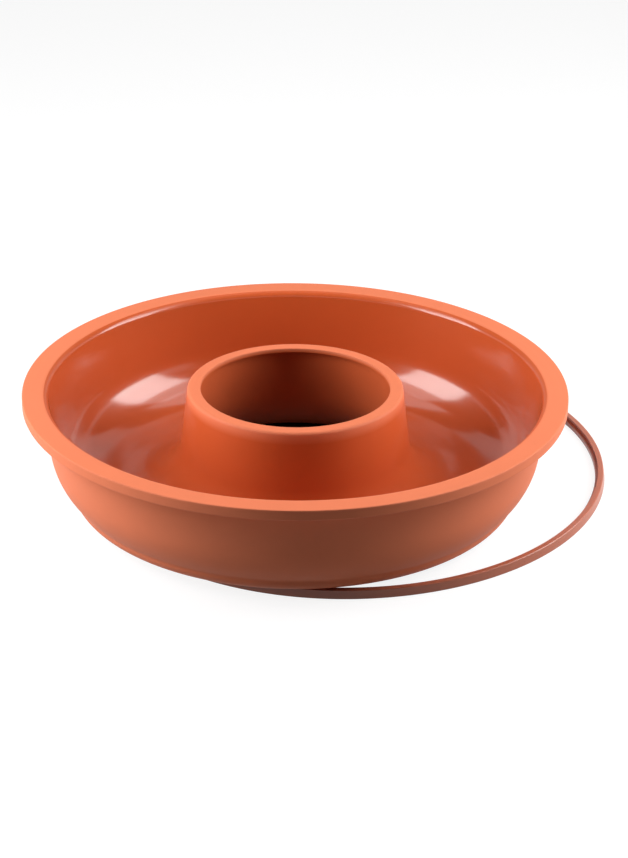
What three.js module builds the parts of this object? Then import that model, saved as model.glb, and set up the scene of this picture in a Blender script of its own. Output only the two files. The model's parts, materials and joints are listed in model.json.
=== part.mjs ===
// A silicone savarin mould that leans on its loose support ring.
// Millimetres, +Z up, with the table at z = 0.
import * as THREE from "three";

// Rim of the mould, with the band round it.
const RIM_DIAMETER = 240;
const RIM_TOP_WIDTH = 8.4;
const RIM_DEPTH = 4.7;
const RIM_EDGE_RADIUS = 0.5;
const RIM_INNER_FILLET = 3;
const UNDER_RIM_FILLET = 1.2;

// Wall, trough and base.
const MOULD_HEIGHT = 50;
const WALL_THICKNESS = 3;
const WALL_DRAFT_DEG = 8;
const BASE_THICKNESS = 3;
const TROUGH_BEND_RADIUS = 25;
const OUTSIDE_BEND_RADIUS = 30;
const OUTSIDE_BEND_HEIGHT = 28.3; // of the bend's centre over the base

// Foot: a rounded band that stands out a little where the wall ends.
const FOOT_HEIGHT = 6.6;
const FOOT_RADIUS = 8;
const FOOT_STEP = 0.4;

// Chimney in the middle, open from top to bottom, with a lip at its mouth.
const CHIMNEY_MOUTH_RADIUS = 41.8;
const CHIMNEY_DRAFT_DEG = 7;
const CHIMNEY_FOOT_FILLET = 24;
const LIP_TOP_WIDTH = 4.4;
const LIP_OUTER_RADIUS = 1.5;
const LIP_INNER_RADIUS = 0.4;
const LIP_DEPTH = 1.9;
const CHIMNEY_HEIGHT = 50;

// Support ring: its inside clears the wall under the rim, and its rebate faces in and up.
const RING_CLEARANCE = 0.4;
const RING_WIDTH = 4.2;
const RING_HEIGHT = 4.1;
const RING_REBATE_WIDTH = 1.2;
const RING_REBATE_DEPTH = 1.8;
const RING_OUTER_TAPER = 0.5;
const RING_EDGE_RADIUS = 0.45;
const RING_CORNER_CHAMFER = 0.25;

// Where the ring lies: its centre from the mould's axis, along a heading from +X towards +Y.
const RING_OFFSET = 32;
const RING_HEADING_DEG = 40.6;
const CONTACT_GAP = 0.3;

// Facets round a full turn, and the largest step along a round stretch of an outline.
const TURN_SEGMENTS = 96;
const ARC_STEP_DEG = 8.5;
const SMALL_ARC_STEP_DEG = 30;

// Sizes that follow from those above.
const rimRadius = RIM_DIAMETER / 2;
const wallDraft = THREE.MathUtils.degToRad(WALL_DRAFT_DEG);
const chimneyDraft = THREE.MathUtils.degToRad(CHIMNEY_DRAFT_DEG);
const heading = THREE.MathUtils.degToRad(RING_HEADING_DEG);
const rimUnderside = MOULD_HEIGHT - RIM_DEPTH;

// The inner wall starts at the end of the fillet inside the rim.
const filletCentre = new THREE.Vector2(
  rimRadius - RIM_TOP_WIDTH,
  MOULD_HEIGHT - RIM_INNER_FILLET,
);
const wallStart = new THREE.Vector2(
  filletCentre.x - RIM_INNER_FILLET * Math.cos(wallDraft),
  filletCentre.y + RIM_INNER_FILLET * Math.sin(wallDraft),
);

// Radius of the inner and the outer face of the wall at a height.
function innerWallRadius(height) {
  return wallStart.x - (wallStart.y - height) * Math.tan(wallDraft);
}

function outerWallRadius(height) {
  return innerWallRadius(height) + WALL_THICKNESS / Math.cos(wallDraft);
}

// Radius at which an arc of a given radius, centred at a height, touches a wall face from inside.
function bendCentreRadius(wallRadius, centreHeight, bendRadius) {
  return wallRadius(centreHeight) - bendRadius / Math.cos(wallDraft);
}

const troughBendCentre = new THREE.Vector2(0, BASE_THICKNESS + TROUGH_BEND_RADIUS);
troughBendCentre.x = bendCentreRadius(innerWallRadius, troughBendCentre.y, TROUGH_BEND_RADIUS);

const outsideBendCentre = new THREE.Vector2(0, OUTSIDE_BEND_HEIGHT);
outsideBendCentre.x = bendCentreRadius(outerWallRadius, OUTSIDE_BEND_HEIGHT, OUTSIDE_BEND_RADIUS);

// The outside bend ends at the top of the foot, and the foot's own arc runs from there to the flat base.
const bendEnd = Math.asin((OUTSIDE_BEND_HEIGHT - FOOT_HEIGHT) / OUTSIDE_BEND_RADIUS);
const creaseRadius = outsideBendCentre.x + OUTSIDE_BEND_RADIUS * Math.cos(bendEnd);
const footTop = Math.asin((FOOT_RADIUS - FOOT_HEIGHT) / FOOT_RADIUS);
const baseRadius = creaseRadius + FOOT_STEP - FOOT_RADIUS * Math.cos(footTop);

// The chimney's outer face starts at the end of the lip's rounding.
const lipCentre = new THREE.Vector2(
  CHIMNEY_MOUTH_RADIUS + LIP_TOP_WIDTH,
  CHIMNEY_HEIGHT - LIP_OUTER_RADIUS,
);
const chimneyStart = new THREE.Vector2(
  lipCentre.x + LIP_OUTER_RADIUS * Math.cos(chimneyDraft),
  lipCentre.y + LIP_OUTER_RADIUS * Math.sin(chimneyDraft),
);

function chimneyRadius(height) {
  return chimneyStart.x + (chimneyStart.y - height) * Math.tan(chimneyDraft);
}

function chimneyBoreRadius(height) {
  return chimneyRadius(height) - WALL_THICKNESS / Math.cos(chimneyDraft);
}

// The chimney's foot turns out into the trough's floor, as far as the floor has room for.
const floorRoom = troughBendCentre.x - chimneyRadius(BASE_THICKNESS);
const footTurn = Math.min(
  CHIMNEY_FOOT_FILLET,
  floorRoom / (1 / Math.cos(chimneyDraft) - Math.tan(chimneyDraft)),
);
const footTurnCentre = new THREE.Vector2(0, BASE_THICKNESS + footTurn);
footTurnCentre.x = chimneyRadius(footTurnCentre.y) + footTurn / Math.cos(chimneyDraft);

// The bore widens by the same turn, a wall's thickness away, and ends on the flat base.
const boreTurn = footTurn + WALL_THICKNESS;
const boreTurnCentre = new THREE.Vector2(0, boreTurn);
boreTurnCentre.x = chimneyBoreRadius(boreTurn) + boreTurn / Math.cos(chimneyDraft);

// The ring slides up the wall until its top meets the underside of the rim.
const ringInnerRadius = outerWallRadius(rimUnderside) + RING_CLEARANCE;
const ringRebateRadius = ringInnerRadius + RING_REBATE_WIDTH;
const ringOuterRadius = ringInnerRadius + RING_WIDTH;

// The ring's upper inner edge leaves the shadow of the flat base at two points, which carry the mould.
// They lie this far along the heading from the mould's axis, and nearer points of the ring are clear of it.
const crossing = (baseRadius ** 2 + RING_OFFSET ** 2 - ringRebateRadius ** 2) / (2 * RING_OFFSET);
const ringIsUnderBase = crossing > -baseRadius;
const leanSine = ringIsUnderBase ? (RING_HEIGHT + CONTACT_GAP) / (baseRadius - crossing) : 0;
const lean = Math.asin(leanSine);
const baseCentreHeight = baseRadius * leanSine + FOOT_RADIUS * (1 - Math.cos(lean));

// Outline of a revolved solid: a closed run of points, each a radius and a height.
class Outline {
  constructor() {
    this.points = [];
  }

  to(radius, height) {
    this.points.push(new THREE.Vector2(radius, height));
    return this;
  }

  // Adds an arc about a centre between two angles, counted from straight out towards straight up.
  arc(centre, radius, fromDeg, toDeg, stepDeg = ARC_STEP_DEG) {
    const steps = Math.max(1, Math.ceil(Math.abs(toDeg - fromDeg) / stepDeg - 1e-6));
    for (let i = 0; i <= steps; i++) {
      const angle = THREE.MathUtils.degToRad(fromDeg + ((toDeg - fromDeg) * i) / steps);
      this.to(centre.x + radius * Math.cos(angle), centre.y + radius * Math.sin(angle));
    }
    return this;
  }

  // Turns the outline about the Z axis.
  revolve() {
    const closed = [...this.points, this.points[0].clone()];
    return new THREE.LatheGeometry(closed, TURN_SEGMENTS).rotateX(Math.PI / 2);
  }
}

// The mould's section, from the flat base out, up the outside, over the rim and down into the trough,
// then up the chimney, over its lip and down its bore.
function mouldGeometry() {
  const outline = new Outline();
  const foot = new THREE.Vector2(baseRadius, FOOT_RADIUS);
  outline.arc(foot, FOOT_RADIUS, -90, -THREE.MathUtils.radToDeg(footTop), 14);
  outline.arc(
    outsideBendCentre,
    OUTSIDE_BEND_RADIUS,
    -THREE.MathUtils.radToDeg(bendEnd),
    -WALL_DRAFT_DEG,
    7,
  );

  const underRim = new THREE.Vector2(0, rimUnderside - UNDER_RIM_FILLET);
  underRim.x = outerWallRadius(underRim.y) + UNDER_RIM_FILLET / Math.cos(wallDraft);
  outline.arc(underRim, UNDER_RIM_FILLET, 180 - WALL_DRAFT_DEG, 90, SMALL_ARC_STEP_DEG);

  const edge = RIM_EDGE_RADIUS;
  const lowerEdge = new THREE.Vector2(rimRadius - edge, rimUnderside + edge);
  const upperEdge = new THREE.Vector2(rimRadius - edge, MOULD_HEIGHT - edge);
  outline.arc(lowerEdge, edge, -90, 0, SMALL_ARC_STEP_DEG);
  outline.arc(upperEdge, edge, 0, 90, SMALL_ARC_STEP_DEG);
  outline.arc(filletCentre, RIM_INNER_FILLET, 90, 180 - WALL_DRAFT_DEG, 17);

  outline.arc(troughBendCentre, TROUGH_BEND_RADIUS, -WALL_DRAFT_DEG, -90);
  outline.arc(footTurnCentre, footTurn, 270, 180 + CHIMNEY_DRAFT_DEG, 14);

  const mouth = new THREE.Vector2(
    CHIMNEY_MOUTH_RADIUS + LIP_INNER_RADIUS,
    CHIMNEY_HEIGHT - LIP_INNER_RADIUS,
  );
  const lipUnderside = CHIMNEY_HEIGHT - LIP_DEPTH;
  outline.arc(lipCentre, LIP_OUTER_RADIUS, CHIMNEY_DRAFT_DEG, 90, SMALL_ARC_STEP_DEG);
  outline.arc(mouth, LIP_INNER_RADIUS, 90, 180, SMALL_ARC_STEP_DEG);
  outline.to(CHIMNEY_MOUTH_RADIUS, lipUnderside);
  outline.to(chimneyBoreRadius(lipUnderside), lipUnderside);
  outline.arc(boreTurnCentre, boreTurn, 180 + CHIMNEY_DRAFT_DEG, 270, 14);
  return outline.revolve();
}

// The ring's section: flat underside, tapered outside, flat top and a rebate along the inner edge.
function ringGeometry() {
  const chamfer = RING_CORNER_CHAMFER;
  const edge = RING_EDGE_RADIUS;
  const ledgeHeight = RING_HEIGHT - RING_REBATE_DEPTH;
  const lowerEdge = new THREE.Vector2(ringOuterRadius - edge, edge);
  const upperEdge = new THREE.Vector2(ringOuterRadius - RING_OUTER_TAPER - edge, RING_HEIGHT - edge);
  return new Outline()
    .to(ringInnerRadius + chamfer, 0)
    .arc(lowerEdge, edge, -90, 0, SMALL_ARC_STEP_DEG)
    .arc(upperEdge, edge, 0, 90, SMALL_ARC_STEP_DEG)
    .to(ringRebateRadius, RING_HEIGHT)
    .to(ringRebateRadius, ledgeHeight)
    .to(ringInnerRadius + chamfer, ledgeHeight)
    .to(ringInnerRadius, ledgeHeight - chamfer)
    .to(ringInnerRadius, chamfer)
    .revolve();
}

const silicone = new THREE.MeshStandardMaterial({
  name: "silicone",
  color: 0xd9653a,
  roughness: 0.42,
  metalness: 0,
});
const ringPlastic = new THREE.MeshStandardMaterial({
  name: "ring_plastic",
  color: 0xa5715f,
  roughness: 0.4,
  metalness: 0,
});

const supportRing = new THREE.Mesh(ringGeometry(), ringPlastic);
supportRing.name = "support_ring";

// The mould's far foot stands on the table and its near side rests on the ring.
const mould = new THREE.Mesh(mouldGeometry(), silicone);
mould.name = "mould";
const towardsRing = new THREE.Vector3(Math.cos(heading), Math.sin(heading), 0);
const leanAxis = new THREE.Vector3(-towardsRing.y, towardsRing.x, 0);
mould.quaternion.setFromAxisAngle(leanAxis, lean);
mould.position.copy(towardsRing).multiplyScalar(-RING_OFFSET).setZ(baseCentreHeight);

// The part's origin is on the table, under the middle of the whole.
const laidOut = new THREE.Group().add(supportRing, mould);
laidOut.name = "laid_out";
const extent = new THREE.Box3().setFromObject(laidOut, true);
const middle = extent.getCenter(new THREE.Vector3());
laidOut.position.set(-middle.x, -middle.y, 0);

const part = new THREE.Group().add(laidOut);
part.name = "savarin_mould";

export default part;
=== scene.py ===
"""A silicone savarin mould that leans on its loose support ring, in a white studio."""
import json
import math

import bpy
from mathutils import Matrix, Vector


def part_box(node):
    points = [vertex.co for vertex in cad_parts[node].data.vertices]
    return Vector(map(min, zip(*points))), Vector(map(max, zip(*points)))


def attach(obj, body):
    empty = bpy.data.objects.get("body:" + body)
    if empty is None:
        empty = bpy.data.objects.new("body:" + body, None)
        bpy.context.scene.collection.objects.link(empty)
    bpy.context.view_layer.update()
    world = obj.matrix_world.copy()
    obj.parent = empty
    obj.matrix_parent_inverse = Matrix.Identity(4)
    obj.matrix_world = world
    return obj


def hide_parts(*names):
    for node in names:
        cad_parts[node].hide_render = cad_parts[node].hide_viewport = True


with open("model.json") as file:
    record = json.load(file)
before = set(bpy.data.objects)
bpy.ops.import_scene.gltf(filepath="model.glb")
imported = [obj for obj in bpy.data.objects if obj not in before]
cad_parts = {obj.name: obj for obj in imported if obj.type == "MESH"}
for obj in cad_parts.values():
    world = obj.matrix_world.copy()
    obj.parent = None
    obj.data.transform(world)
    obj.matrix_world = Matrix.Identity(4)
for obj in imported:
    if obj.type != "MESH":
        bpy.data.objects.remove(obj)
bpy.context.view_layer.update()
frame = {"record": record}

MM = 0.001

# Rim of the mould, with the band round it.
RIM_RADIUS = 120 * MM
RIM_TOP_WIDTH = 8.4 * MM
RIM_DEPTH = 4.7 * MM
RIM_EDGE_RADIUS = 0.5 * MM
RIM_INNER_FILLET = 3 * MM
UNDER_RIM_FILLET = 1.2 * MM

# Wall, trough and base.
MOULD_HEIGHT = 50 * MM
WALL_THICKNESS = 3 * MM
WALL_DRAFT = math.radians(8)
BASE_THICKNESS = 3 * MM
TROUGH_BEND_RADIUS = 25 * MM
OUTSIDE_BEND_RADIUS = 30 * MM
OUTSIDE_BEND_HEIGHT = 28.3 * MM

# Foot: a rounded band that stands out a little where the wall ends, with a softened crease above it.
FOOT_HEIGHT = 6.6 * MM
FOOT_RADIUS = 8 * MM
FOOT_STEP = 0.4 * MM
CREASE_BLEND = 1.4 * MM

# Chimney in the middle, with a lip at its mouth.
CHIMNEY_MOUTH_RADIUS = 41.8 * MM
CHIMNEY_DRAFT = math.radians(7)
CHIMNEY_FOOT_FILLET = 24 * MM
LIP_TOP_WIDTH = 4.4 * MM
LIP_OUTER_RADIUS = 1.5 * MM
LIP_INNER_RADIUS = 0.4 * MM
LIP_DEPTH = 1.9 * MM

# Depths below the top: where the darker inside colour that paints shade and the polish are full inside
# the rim, and the two between which they come in below the lip.
RIM_PAINTED_SHADE_DEPTH = 0.06 * MM
RIM_POLISH_DEPTH = 2.2 * MM
LIP_BLEND_FROM = 1.2 * MM
LIP_BLEND_TO = 4.5 * MM

# The chimney and its foot keep only this much of the polish, and the bore this much of the painted shade.
CHIMNEY_POLISH = 0.35
CHIMNEY_POLISH_RADIUS = 66 * MM
TROUGH_POLISH_RADIUS = 86 * MM
BORE_PAINTED_SHADE = 0.88

# Section of the support ring, whose outer radius comes from the frame.
RING_WIDTH = 4.2 * MM
RING_REBATE_WIDTH = 1.2 * MM
RING_REBATE_DEPTH = 1.8 * MM
RING_OUTER_TAPER = 0.5 * MM
RING_EDGE_RADIUS = 0.45 * MM
RING_CORNER_CHAMFER = 0.25 * MM

# Colours and roughness of the silicone's satin outside and polished inside, and of the ring's plastic.
# The inside colour is a darker, redder copy of the outside one: painted shade and bounced light of the
# hollows.
OUTSIDE_COLOUR = (0.69, 0.187, 0.09)
OUTSIDE_SWING = 0.06
SHADED_INSIDE_COLOUR = (0.52, 0.088, 0.022)
INSIDE_SWING = 0.05
RING_COLOUR = (0.42, 0.12, 0.064)
RING_SWING = 0.07
SATIN_ROUGHNESS = 0.55
POLISHED_ROUGHNESS = 0.36
RING_ROUGHNESS = 0.3

# Surface detail in cycles per metre, and how far the grain stands out.
DRIFT_SCALE = 38
CLOUD_SCALE = 160
SILICONE_GRAIN_SCALE = 2600
RING_GRAIN_SCALE = 2000
GRAIN_HEIGHT = 0.03 * MM
GRAIN_STRENGTH = 0.2

# Floor: its grey to see and its grey for bounced light, its own glow, and the dark grey of the shadow
# painted below the bore.
FLOOR_SEEN_GREY = 0.2
FLOOR_BOUNCE_GREY = 0.3
FLOOR_GLOW = 0.86
FLOOR_PAINTED_SHADOW_GREY = 0.04

# How open the floor is, within this reach, where it counts as shut in and takes the full painted shadow, and
# where it no longer does.
OPENNESS_REACH = 0.3
SHUT_IN_BELOW = 0.13
OPEN_ABOVE = 0.25

# Camera: where it looks from, what it looks at, and its lens for a frame 858 pixels high.
FRAME_HEIGHT_PX = 858
FOCAL_LENGTH_PX = 2700
CAMERA_AIM = Vector((-1.79, 5.61, 25.0)) * MM
CAMERA_DISTANCE = 1213.8 * MM
CAMERA_AZIMUTH = math.radians(-0.655)
CAMERA_ELEVATION = math.radians(26.56)
CAMERA_ROLL = math.radians(0.924)

TURN_STEPS = 240
RING_TURN_STEPS = 288


class OutlinePen:
    """Draws a section in the XZ plane from one vertex, by extruding it and spinning it round centres."""

    def __init__(self, name, radius, height):
        bpy.ops.object.select_all(action="DESELECT")
        bpy.ops.mesh.primitive_plane_add(size=MM, location=(radius, 0, height))
        self.piece = bpy.context.object
        self.piece.name = name
        bpy.ops.object.transform_apply(location=True)
        bpy.ops.object.mode_set(mode="EDIT")
        bpy.ops.mesh.merge(type="CENTER")
        self.radius = radius
        self.height = height

    def line(self, radius, height, steps=1):
        step = ((radius - self.radius) / steps, 0, (height - self.height) / steps)
        for _ in range(steps):
            bpy.ops.mesh.extrude_region_move(TRANSFORM_OT_translate={"value": step})
        self.radius = radius
        self.height = height

    def held_line(self, radius, height, hold=0.3 * MM, steps=1):
        """A straight stretch with a short step at each end, which keeps it flat beside small roundings."""
        start = Vector((self.radius, self.height))
        end = Vector((radius, height))
        along = (end - start).normalized() * hold
        self.line(*(start + along))
        self.line(*(end - along), steps=steps)
        self.line(*end)

    def soft_corner(self, corner, end, steps):
        """Goes to an end past a corner, on a curve that rounds the corner off."""
        start = Vector((self.radius, self.height))
        for step in range(1, steps + 1):
            part = step / steps
            self.line(*start.lerp(corner, part).lerp(corner.lerp(end, part), part))

    def arc(self, centre, turn, steps):
        """Turns the last vertex about a centre. A positive turn goes from straight out to straight up."""
        bpy.ops.mesh.spin(steps=steps, angle=turn, center=(centre.x, 0, centre.y), axis=(0, 1, 0))
        spoke = Matrix.Rotation(turn, 2) @ (Vector((self.radius, self.height)) - centre)
        self.radius, self.height = centre + spoke

    def revolve(self, steps):
        """Closes the outline and turns it about the Z axis into a solid."""
        merge = 0.01 * MM
        bpy.ops.mesh.select_all(action="SELECT")
        bpy.ops.mesh.remove_doubles(threshold=merge)
        bpy.ops.mesh.spin(steps=steps, angle=math.tau, center=(0, 0, 0), axis=(0, 0, 1))
        bpy.ops.mesh.select_all(action="SELECT")
        bpy.ops.mesh.remove_doubles(threshold=merge)
        bpy.ops.mesh.normals_make_consistent(inside=False)
        bpy.ops.object.mode_set(mode="OBJECT")
        bpy.ops.object.shade_smooth_by_angle(angle=math.radians(40))
        return self.piece


class Wire:
    """A socket among a material's nodes. Arithmetic on it adds Math nodes."""

    def __init__(self, tree, socket=None):
        self.tree = tree
        self.socket = socket

    def node(self, kind, settings=None, inputs=None, output=0):
        made = self.tree.nodes.new("ShaderNode" + kind)
        for name, value in (settings or {}).items():
            setattr(made, name, value)
        for name, value in (inputs or {}).items():
            if isinstance(value, Wire):
                self.tree.links.new(value.socket, made.inputs[name])
            else:
                made.inputs[name].default_value = value
        return Wire(self.tree, made.outputs[output]) if made.outputs else None

    def math(self, operation, *values):
        return self.node("Math", {"operation": operation}, dict(enumerate(values)))

    def __add__(self, other):
        return self.math("ADD", self, other)

    def __sub__(self, other):
        return self.math("SUBTRACT", self, other)

    def __rsub__(self, other):
        return self.math("SUBTRACT", other, self)

    def __mul__(self, other):
        return self.math("MULTIPLY", self, other)

    __radd__ = __add__
    __rmul__ = __mul__


def new_material(name):
    """An empty material and the start of its nodes."""
    material = bpy.data.materials.new(name)
    material.use_nodes = True
    material.node_tree.nodes.clear()
    return material, Wire(material.node_tree)


def noise(wire, place, scale, detail):
    """Even noise around zero, at a scale in cycles per metre."""
    return wire.node("TexNoise", inputs={"Vector": place, "Scale": scale, "Detail": detail}) - 0.5


def surface_detail(wire, grain_scale):
    """Soft clouds, a fine grain, and the drift of shade from a slower noise and the clouds."""
    place = wire.node("TexCoord", output="Object")
    drift = noise(wire, place, DRIFT_SCALE, detail=3)
    clouds = noise(wire, place, CLOUD_SCALE, detail=4)
    grain = noise(wire, place, grain_scale, detail=2)
    return clouds, grain, drift * 0.6 + clouds * 0.4 + 0.5


def grain_bump(wire, height):
    return wire.node("Bump", inputs={"Height": height, "Strength": GRAIN_STRENGTH, "Distance": GRAIN_HEIGHT})


def mixed_colour(wire, factor, first, second):
    return wire.node("Mix", {"data_type": "RGBA"}, {"Factor": factor, "A": first, "B": second}, output=2)


def drifting_colour(wire, shade, colour, swing):
    """A colour that drifts between a darker and a lighter one."""
    darker = [channel * (1 - swing) for channel in colour]
    lighter = [channel * (1 + swing) for channel in colour]
    return mixed_colour(wire, shade, (*darker, 1), (*lighter, 1))


def silicone():
    """Silicone with a satin outside and a polished trough, told apart by the mesh's attributes. One of them
    paints shade into the trough and the bore as a darker, redder colour.
    """
    material, wire = new_material("silicone_satin_and_polished")
    polish = wire.node("Attribute", {"attribute_name": "polish"}, output="Fac")
    painted_shade = wire.node("Attribute", {"attribute_name": "painted_shade"}, output="Fac")
    clouds, grain, shade = surface_detail(wire, SILICONE_GRAIN_SCALE)
    outside = drifting_colour(wire, shade, OUTSIDE_COLOUR, OUTSIDE_SWING)
    # The inside colour is painted shade and bounced light: a darker, redder copy of the outside colour.
    inside = drifting_colour(wire, shade, SHADED_INSIDE_COLOUR, INSIDE_SWING)
    satin_roughness = clouds * 0.1 + grain * 0.06 + SATIN_ROUGHNESS
    polished_roughness = clouds * 0.06 + POLISHED_ROUGHNESS
    body = wire.node(
        "BsdfPrincipled",
        inputs={
            "Base Color": mixed_colour(wire, painted_shade, outside, inside),
            "Roughness": satin_roughness * (1 - polish) + polished_roughness * polish,
            "IOR": 1.43,
            "Specular IOR Level": 0.15,
            "Coat Weight": polish * (clouds * 0.12 + 0.94),
            "Coat Roughness": 0.13,
            "Coat IOR": 1.54,
            "Normal": grain_bump(wire, grain * (1 - 0.8 * polish)),
        },
    )
    wire.node("OutputMaterial", inputs={"Surface": body})
    return material


def ring_plastic():
    """A stiff plastic with a fine satin grain."""
    material, wire = new_material("ring_satin_plastic")
    clouds, grain, shade = surface_detail(wire, RING_GRAIN_SCALE)
    body = wire.node(
        "BsdfPrincipled",
        inputs={
            "Base Color": drifting_colour(wire, shade, RING_COLOUR, RING_SWING),
            "Roughness": clouds * 0.1 + grain * 0.05 + RING_ROUGHNESS,
            "IOR": 1.5,
            "Specular IOR Level": 0.5,
            "Normal": grain_bump(wire, grain),
        },
    )
    wire.node("OutputMaterial", inputs={"Surface": body})
    return material


def inner_wall_radius(height):
    fillet_centre = RIM_RADIUS - RIM_TOP_WIDTH
    start_radius = fillet_centre - RIM_INNER_FILLET * math.cos(WALL_DRAFT)
    start_height = MOULD_HEIGHT - RIM_INNER_FILLET * (1 - math.sin(WALL_DRAFT))
    return start_radius - (start_height - height) * math.tan(WALL_DRAFT)


def outer_wall_radius(height):
    return inner_wall_radius(height) + WALL_THICKNESS / math.cos(WALL_DRAFT)


def chimney_radius(height):
    start_radius = CHIMNEY_MOUTH_RADIUS + LIP_TOP_WIDTH + LIP_OUTER_RADIUS * math.cos(CHIMNEY_DRAFT)
    start_height = MOULD_HEIGHT - LIP_OUTER_RADIUS * (1 - math.sin(CHIMNEY_DRAFT))
    return start_radius + (start_height - height) * math.tan(CHIMNEY_DRAFT)


def chimney_bore_radius(height):
    return chimney_radius(height) - WALL_THICKNESS / math.cos(CHIMNEY_DRAFT)


# Centres of the large roundings of the mould's section.
trough_bend = Vector((0, BASE_THICKNESS + TROUGH_BEND_RADIUS))
trough_bend.x = inner_wall_radius(trough_bend.y) - TROUGH_BEND_RADIUS / math.cos(WALL_DRAFT)
outside_bend = Vector((0, OUTSIDE_BEND_HEIGHT))
outside_bend.x = outer_wall_radius(OUTSIDE_BEND_HEIGHT) - OUTSIDE_BEND_RADIUS / math.cos(WALL_DRAFT)
foot_turn = Vector((0, BASE_THICKNESS + CHIMNEY_FOOT_FILLET))
foot_turn.x = chimney_radius(foot_turn.y) + CHIMNEY_FOOT_FILLET / math.cos(CHIMNEY_DRAFT)
bore_turn_radius = CHIMNEY_FOOT_FILLET + WALL_THICKNESS
bore_turn = Vector((0, bore_turn_radius))
bore_turn.x = chimney_bore_radius(bore_turn.y) + bore_turn_radius / math.cos(CHIMNEY_DRAFT)

QUARTER = math.pi / 2


def draw_outside(pen):
    """The flat base, the foot, the outer wall and the band round the rim."""
    bend_end = math.asin((OUTSIDE_BEND_HEIGHT - FOOT_HEIGHT) / OUTSIDE_BEND_RADIUS)
    crease_radius = outside_bend.x + OUTSIDE_BEND_RADIUS * math.cos(bend_end)
    foot_top = math.asin((FOOT_RADIUS - FOOT_HEIGHT) / FOOT_RADIUS)
    base_radius = crease_radius + FOOT_STEP - FOOT_RADIUS * math.cos(foot_top)
    pen.held_line(base_radius, 0, hold=1.5 * MM, steps=4)
    blend_from = math.asin((FOOT_RADIUS - FOOT_HEIGHT + CREASE_BLEND) / FOOT_RADIUS)
    pen.arc(Vector((base_radius, FOOT_RADIUS)), QUARTER - blend_from, steps=14)
    blend_to = math.asin((OUTSIDE_BEND_HEIGHT - FOOT_HEIGHT - CREASE_BLEND) / OUTSIDE_BEND_RADIUS)
    bend_start = outside_bend + OUTSIDE_BEND_RADIUS * Vector((math.cos(blend_to), -math.sin(blend_to)))
    pen.soft_corner(Vector((crease_radius, FOOT_HEIGHT)), bend_start, steps=6)
    pen.arc(outside_bend, blend_to - WALL_DRAFT, steps=20)

    underside = MOULD_HEIGHT - RIM_DEPTH
    under_rim = Vector((0, underside - UNDER_RIM_FILLET))
    under_rim.x = outer_wall_radius(under_rim.y) + UNDER_RIM_FILLET / math.cos(WALL_DRAFT)
    start = under_rim + UNDER_RIM_FILLET * Vector((-math.cos(WALL_DRAFT), math.sin(WALL_DRAFT)))
    pen.held_line(start.x, start.y, steps=6)
    pen.arc(under_rim, WALL_DRAFT - QUARTER, steps=8)

    edge = RIM_RADIUS - RIM_EDGE_RADIUS
    pen.held_line(edge, underside, steps=2)
    pen.arc(Vector((edge, underside + RIM_EDGE_RADIUS)), QUARTER, steps=6)
    pen.held_line(RIM_RADIUS, MOULD_HEIGHT - RIM_EDGE_RADIUS, steps=2)
    pen.arc(Vector((edge, MOULD_HEIGHT - RIM_EDGE_RADIUS)), QUARTER, steps=6)


def draw_trough(pen):
    """The flat of the rim, the fillet inside it and the trough, up to the chimney's lip."""
    fillet = Vector((RIM_RADIUS - RIM_TOP_WIDTH, MOULD_HEIGHT - RIM_INNER_FILLET))
    pen.held_line(fillet.x, MOULD_HEIGHT, steps=3)
    pen.arc(fillet, QUARTER - WALL_DRAFT, steps=14)
    wall_end = trough_bend + TROUGH_BEND_RADIUS * Vector((math.cos(WALL_DRAFT), -math.sin(WALL_DRAFT)))
    pen.held_line(wall_end.x, wall_end.y, steps=6)
    pen.arc(trough_bend, WALL_DRAFT - QUARTER, steps=36)
    pen.held_line(foot_turn.x, BASE_THICKNESS, steps=2)
    pen.arc(foot_turn, CHIMNEY_DRAFT - QUARTER, steps=32)


def draw_chimney(pen):
    """The chimney's outer face, its lip and its bore, which widens towards the base."""
    lip = Vector((CHIMNEY_MOUTH_RADIUS + LIP_TOP_WIDTH, MOULD_HEIGHT - LIP_OUTER_RADIUS))
    start = lip + LIP_OUTER_RADIUS * Vector((math.cos(CHIMNEY_DRAFT), math.sin(CHIMNEY_DRAFT)))
    pen.held_line(start.x, start.y, steps=6)
    pen.arc(lip, QUARTER - CHIMNEY_DRAFT, steps=10)
    mouth = Vector((CHIMNEY_MOUTH_RADIUS + LIP_INNER_RADIUS, MOULD_HEIGHT - LIP_INNER_RADIUS))
    pen.held_line(mouth.x, MOULD_HEIGHT, steps=2)
    pen.arc(mouth, QUARTER, steps=6)
    lip_underside = MOULD_HEIGHT - LIP_DEPTH
    pen.held_line(CHIMNEY_MOUTH_RADIUS, lip_underside, hold=0.2 * MM)
    pen.line(chimney_bore_radius(lip_underside), lip_underside, steps=2)
    turn_start = bore_turn - bore_turn_radius * Vector((math.cos(CHIMNEY_DRAFT), math.sin(CHIMNEY_DRAFT)))
    pen.held_line(turn_start.x, turn_start.y, steps=4)
    pen.arc(bore_turn, QUARTER - CHIMNEY_DRAFT, steps=28)


def faces_into_trough(radius, height):
    """True where a point of the section lies on the trough's side of the wall."""
    half = WALL_THICKNESS / 2
    point = Vector((radius, height))
    if radius > trough_bend.x:
        if height > trough_bend.y:
            return radius < inner_wall_radius(height) + half
        return (point - trough_bend).length < TROUGH_BEND_RADIUS + half
    if radius > foot_turn.x:
        return height > BASE_THICKNESS / 2
    if height < foot_turn.y:
        return (point - foot_turn).length < CHIMNEY_FOOT_FILLET + half
    return radius > max(chimney_radius(height) - half, CHIMNEY_MOUTH_RADIUS + LIP_TOP_WIDTH)


def ramp(value, start, end):
    """0 up to the start, 1 from the end on, and even between them."""
    return min(1.0, max(0.0, (value - start) / (end - start)))


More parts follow.
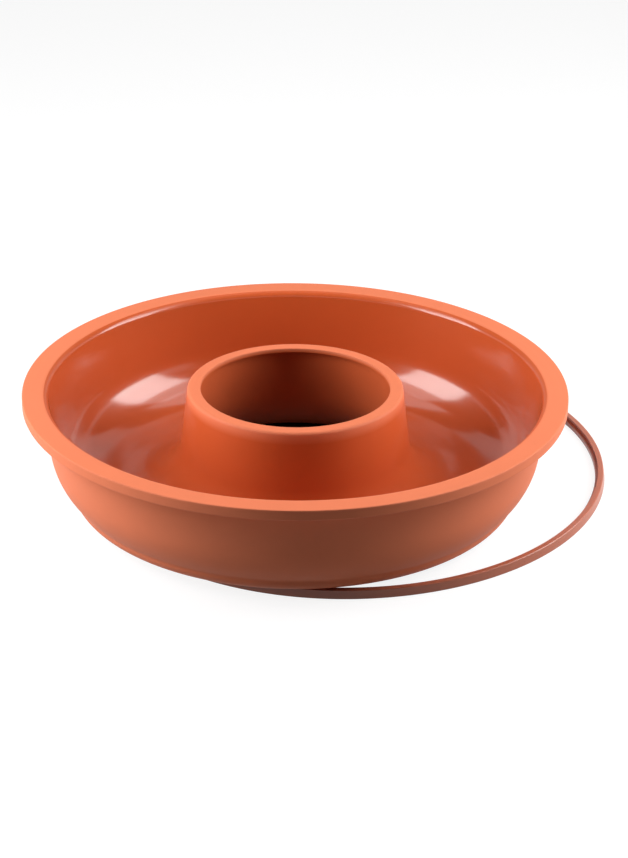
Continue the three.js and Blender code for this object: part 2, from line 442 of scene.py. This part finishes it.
def finish_at(radius, height):
    """How polished a point of the section is, and how far it has the darker inside colour that paints shade.
    """
    sunk = MOULD_HEIGHT - height
    if not faces_into_trough(radius, height):
        # The bore, deep in shade, gets most of the painted shade.
        in_bore = radius < bore_turn.x and sunk > LIP_DEPTH / 2
        return 0.0, BORE_PAINTED_SHADE * in_bore
    if radius > trough_bend.x:
        polish = ramp(sunk, 0, RIM_POLISH_DEPTH)
        painted_shade = ramp(sunk, 0, RIM_PAINTED_SHADE_DEPTH)
    else:
        polish = painted_shade = ramp(sunk, LIP_BLEND_FROM, LIP_BLEND_TO)
    outwards = ramp(radius, CHIMNEY_POLISH_RADIUS, TROUGH_POLISH_RADIUS)
    return polish * (CHIMNEY_POLISH + (1 - CHIMNEY_POLISH) * outwards), painted_shade


def mould_place():
    """The lean and the place of the mould's axis, from its base, its rim and its box in the frame."""
    mounts = {mount["name"]: mount for mount in frame["record"]["mounts"]}
    base = mounts["mould_base"]
    up = -Vector(base["axis"])
    low, high = (Vector(corner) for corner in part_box("mould"))
    centre = (low + high) / 2 - (MOULD_HEIGHT - RIM_DEPTH / 2) * up
    centre.z = 0
    centre.z = (Vector(base["pos_m"]) - centre).dot(up) / up.z
    lean = Vector((0, 0, 1)).rotation_difference(up).to_matrix().to_4x4()
    return Matrix.Translation(centre) @ lean


def make_mould():
    pen = OutlinePen("silicone_mould", bore_turn.x, 0)
    draw_outside(pen)
    draw_trough(pen)
    draw_chimney(pen)
    mould = pen.revolve(TURN_STEPS)
    mould.data.materials.append(silicone())
    polish = mould.data.attributes.new("polish", "FLOAT", "POINT").name
    # This attribute carries the painted shade: how far each point takes the darker inside colour.
    painted_shade = mould.data.attributes.new("painted_shade", "FLOAT", "POINT").name
    finish = [finish_at(vertex.co.xy.length, vertex.co.z) for vertex in mould.data.vertices]
    mould.data.attributes[polish].data.foreach_set("value", [point[0] for point in finish])
    mould.data.attributes[painted_shade].data.foreach_set("value", [point[1] for point in finish])
    mould.matrix_world = mould_place()
    bpy.ops.object.transform_apply(location=True, rotation=True, scale=True)
    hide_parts("mould")
    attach(mould, "mould")


def make_ring():
    low, high = (Vector(corner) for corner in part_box("support_ring"))
    outer = (high.x - low.x) / 2
    top = high.z
    inner = outer - RING_WIDTH
    rebate = inner + RING_REBATE_WIDTH
    ledge = top - RING_REBATE_DEPTH
    edge = RING_EDGE_RADIUS
    chamfer = RING_CORNER_CHAMFER
    pen = OutlinePen("loose_support_ring", inner + chamfer, 0)
    pen.held_line(outer - edge, 0)
    pen.arc(Vector((outer - edge, edge)), QUARTER, steps=6)
    pen.held_line(outer - RING_OUTER_TAPER, top - edge, steps=3)
    pen.arc(Vector((outer - RING_OUTER_TAPER - edge, top - edge)), QUARTER, steps=6)
    pen.held_line(rebate, top)
    pen.held_line(rebate, ledge)
    pen.held_line(inner + chamfer, ledge, hold=0.15 * MM)
    pen.line(inner, ledge - chamfer)
    pen.held_line(inner, chamfer)
    pen.line(inner + chamfer, 0)
    ring = pen.revolve(RING_TURN_STEPS)
    ring.data.materials.append(ring_plastic())
    ring.location = ((low.x + high.x) / 2, (low.y + high.y) / 2, 0)
    bpy.ops.object.transform_apply(location=True, rotation=True, scale=True)
    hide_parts("support_ring")
    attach(ring, "support_ring")


def make_camera():
    camera = bpy.data.cameras.new("camera")
    camera.sensor_width = 36
    camera.lens = FOCAL_LENGTH_PX * camera.sensor_width / FRAME_HEIGHT_PX
    level = math.cos(CAMERA_ELEVATION)
    forward = Vector((
        math.sin(CAMERA_AZIMUTH) * level,
        math.cos(CAMERA_AZIMUTH) * level,
        -math.sin(CAMERA_ELEVATION),
    ))
    turn = forward.to_track_quat("-Z", "Y").to_matrix() @ Matrix.Rotation(-CAMERA_ROLL, 3, "Z")
    holder = bpy.data.objects.new("camera", camera)
    holder.matrix_world = Matrix.Translation(CAMERA_AIM - CAMERA_DISTANCE * forward) @ turn.to_4x4()
    bpy.context.scene.collection.objects.link(holder)
    bpy.context.scene.camera = holder


def matt(wire, grey):
    return wire.node("BsdfDiffuse", inputs={"Color": (grey, grey, grey, 1)})


def backdrop_material(mould_foot):
    """White where it is seen and grey for the light that it throws back. Below the mould's bore it is
    painted dark for that light, and painted dark to see as well where the mould shuts it in: a painted
    shadow."""
    material, wire = new_material("white_backdrop")
    light_path = {
        kind: wire.node("LightPath", output=kind)
        for kind in ("Is Camera Ray", "Is Glossy Ray", "Is Transmission Ray")
    }
    seen = light_path["Is Camera Ray"] + light_path["Is Glossy Ray"] + light_path["Is Transmission Ray"]
    place = wire.node("TexCoord", output="Object")
    away = wire.node("VectorMath", {"operation": "DISTANCE"}, {0: place, 1: mould_foot}, output="Value")
    openness = wire.node("AmbientOcclusion", {"samples": 32}, {"Distance": OPENNESS_REACH}, output="AO")
    shadow_where_shut_in = wire.node(
        "MapRange",
        inputs={
            "Value": openness,
            "From Min": SHUT_IN_BELOW,
            "From Max": OPEN_ABOVE,
            "To Min": 1,
            "To Max": 0,
        },
    )
    below_bore = away.math("LESS_THAN", away, bore_turn.x)
    # Painted shadow: dark grey below the bore for bounced light, and to see where the mould shuts the floor
    # in.
    dark = matt(wire, FLOOR_PAINTED_SHADOW_GREY)
    glow = wire.node("Emission", inputs={"Color": (1, 1, 1, 1), "Strength": FLOOR_GLOW})
    white = wire.node("AddShader", inputs={0: matt(wire, FLOOR_SEEN_GREY), 1: glow})
    shown = wire.node("MixShader", inputs={0: shadow_where_shut_in * below_bore, 1: white, 2: dark})
    lit = wire.node("MixShader", inputs={0: below_bore, 1: matt(wire, FLOOR_BOUNCE_GREY), 2: dark})
    surface = wire.node("MixShader", inputs={0: seen, 1: lit, 2: shown})
    wire.node("OutputMaterial", inputs={"Surface": surface})
    return material


def make_backdrop():
    """A flat floor that turns up into a low white wall far from the mould, and a white card at the back."""
    flat_radius = 3.5
    bend = 0.6
    wall_height = 1.3
    pen = OutlinePen("backdrop", 0, 0)
    pen.line(flat_radius, 0, steps=6)
    pen.arc(Vector((flat_radius, bend)), QUARTER, steps=12)
    pen.line(flat_radius + bend, wall_height)
    backdrop = pen.revolve(steps=64)
    bpy.ops.object.mode_set(mode="EDIT")
    bpy.ops.mesh.flip_normals()
    bpy.ops.object.mode_set(mode="OBJECT")
    backdrop.data.materials.append(backdrop_material(mould_place().translation))

    card_width = 5
    card_height = 2.6
    card_centre = (0, 2.6, 1.4)
    bpy.ops.mesh.primitive_plane_add(size=1, location=card_centre, rotation=(QUARTER, 0, 0))
    card = bpy.context.object
    card.name = "white_card"
    card.scale = (card_width, card_height, 1)
    bpy.ops.object.transform_apply(location=True, rotation=True, scale=True)
    card.data.materials.append(backdrop.data.materials[0])


def softbox(name, azimuth, elevation, distance, size, radiance):
    """A flat lamp that faces the mould, placed by its direction from it. Its size is width by height."""
    width, height = size
    lamp = bpy.data.lights.new(name, "AREA")
    lamp.shape = "RECTANGLE"
    lamp.size = width
    lamp.size_y = height
    lamp.energy = radiance * math.pi * width * height
    azimuth = math.radians(azimuth)
    elevation = math.radians(elevation)
    away = Vector((
        math.sin(azimuth) * math.cos(elevation),
        math.cos(azimuth) * math.cos(elevation),
        math.sin(elevation),
    ))
    holder = bpy.data.objects.new(name, lamp)
    turn = away.to_track_quat("Z", "Y").to_matrix().to_4x4()
    holder.matrix_world = Matrix.Translation(away * distance) @ turn
    bpy.context.scene.collection.objects.link(holder)


def make_lights():
    softbox("softbox_left", azimuth=-97, elevation=33, distance=0.61, size=(0.38, 0.62), radiance=2.9)
    softbox("softbox_left_core", azimuth=-97, elevation=27, distance=0.6, size=(0.34, 0.42), radiance=6.5)
    softbox("softbox_right", azimuth=87, elevation=33, distance=0.61, size=(0.38, 0.62), radiance=2.8)
    softbox("softbox_right_core", azimuth=87, elevation=27, distance=0.6, size=(0.34, 0.42), radiance=6.3)
    softbox("softbox_above", azimuth=0, elevation=76, distance=0.9, size=(1.2, 0.4), radiance=2.1)
    world = bpy.data.worlds.new("dim_room")
    world.use_nodes = True
    world.node_tree.nodes["Background"].inputs["Color"].default_value = (0.02, 0.02, 0.02, 1)
    bpy.context.scene.world = world


bpy.context.scene.view_settings.view_transform = "Standard"
make_camera()
make_lights()
make_backdrop()
make_mould()
make_ring()
